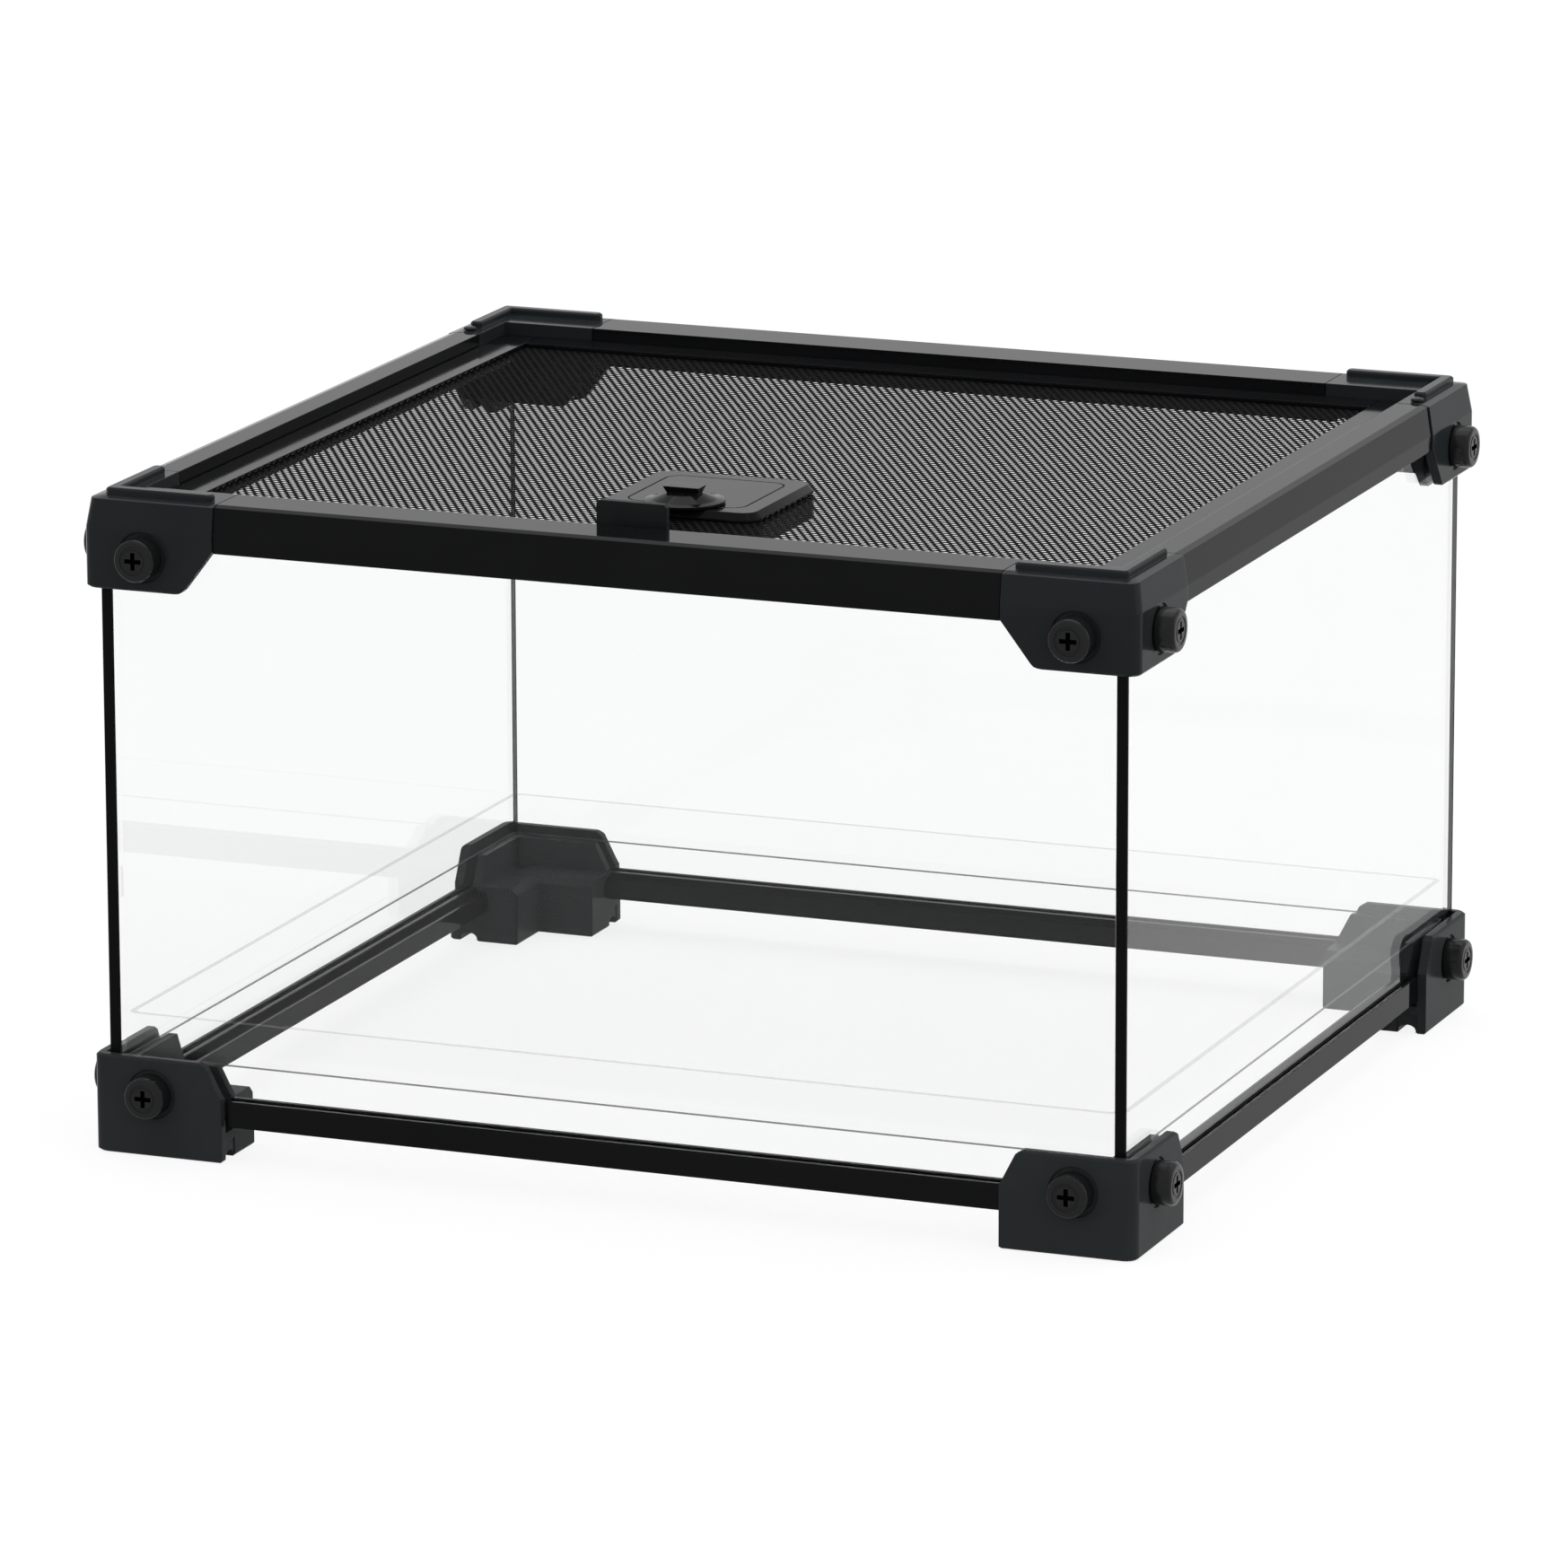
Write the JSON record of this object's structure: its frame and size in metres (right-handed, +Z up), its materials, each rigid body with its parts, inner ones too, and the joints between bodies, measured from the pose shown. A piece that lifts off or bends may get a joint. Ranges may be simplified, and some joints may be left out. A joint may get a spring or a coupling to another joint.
{
  "type": "glass terrarium",
  "caption": "Low glass terrarium with black corner brackets, thumbscrews, a clear liner tray and a hinged mesh lid with a turning latch.",
  "frame": {"origin": "centre of the bounding box at floor level", "axes": "+X to the right of the front, +Y from the front to the back, +Z up"},
  "size_m": [0.311, 0.292, 0.187],
  "materials": {
    "moulded_black": "satin moulded black",
    "screw_black": "satin moulded black",
    "seal_black": "black silicone",
    "clear_glass": "clear float glass",
    "clear_plastic": "clear thin plastic",
    "net_black": "black coated perforated sheet",
    "pin_steel": "plain steel"
  },
  "bodies": {
    "tank": {"bracket_back_left": "moulded_black", "bracket_back_right": "moulded_black", "bracket_front_left": "moulded_black", "bracket_front_right": "moulded_black", "floor_pane": "clear_glass", "foot_back_left": "moulded_black", "foot_back_right": "moulded_black", "foot_front_left": "moulded_black", "foot_front_right": "moulded_black", "hinge_pin_left": "pin_steel", "hinge_pin_right": "pin_steel", "hinge_plug_left": "screw_black", "hinge_plug_right": "screw_black", "liner_tray": "clear_plastic", "pane_back": "clear_glass", "pane_front": "clear_glass", "pane_left": "clear_glass", "pane_right": "clear_glass", "rail_low_back": "moulded_black", "rail_low_front": "moulded_black", "rail_low_left": "moulded_black", "rail_low_right": "moulded_black", "rail_top_back": "moulded_black", "rail_top_front": "moulded_black", "rail_top_left": "moulded_black", "rail_top_right": "moulded_black", "screw_low_back_left_on_back": "screw_black", "screw_low_back_left_on_left": "screw_black", "screw_low_back_right_on_back": "screw_black", "screw_low_back_right_on_right": "screw_black", "screw_low_front_left_on_front": "screw_black", "screw_low_front_left_on_left": "screw_black", "screw_low_front_right_on_front": "screw_black", "screw_low_front_right_on_right": "screw_black", "screw_top_back_left_on_back": "screw_black", "screw_top_back_left_on_left": "screw_black", "screw_top_back_right_on_back": "screw_black", "screw_top_back_right_on_right": "screw_black", "screw_top_front_left_on_front": "screw_black", "screw_top_front_left_on_left": "screw_black", "screw_top_front_right_on_front": "screw_black", "screw_top_front_right_on_right": "screw_black", "seal_back_left": "seal_black", "seal_back_right": "seal_black", "seal_front_left": "seal_black", "seal_front_right": "seal_black"},
    "lid": {"lid_bar_back": "moulded_black", "lid_bar_front": "moulded_black", "lid_bar_left": "moulded_black", "lid_bar_right": "moulded_black", "lid_net": "net_black", "lid_pull": "moulded_black", "latch_plate": "moulded_black", "latch_housing": "moulded_black"},
    "knob": {"latch_knob": "moulded_black"},
    "bolt": {"latch_bolt": "screw_black"}
  },
  "joints": [
    {"name": "lid_hinge", "type": "hinge", "parent": "tank", "child": "lid", "pos_m": [0, 0.1065, 0.1761], "axis": [-1, 0, 0], "range_deg": [0, 150]},
    {"name": "latch_turn", "type": "hinge", "parent": "lid", "child": "knob", "pos_m": [0, -0.0815, 0.1797], "axis": [0, 0, -1], "range_deg": [0, 90]},
    {"name": "bolt_slide", "type": "slide", "parent": "lid", "child": "bolt", "axis": [0, -1, 0], "range_m": [0, 0.006]}
  ],
  "couplings": [
    {"joint": "latch_turn", "follows": "bolt_slide", "rad_per_m": 261.8}
  ]
}
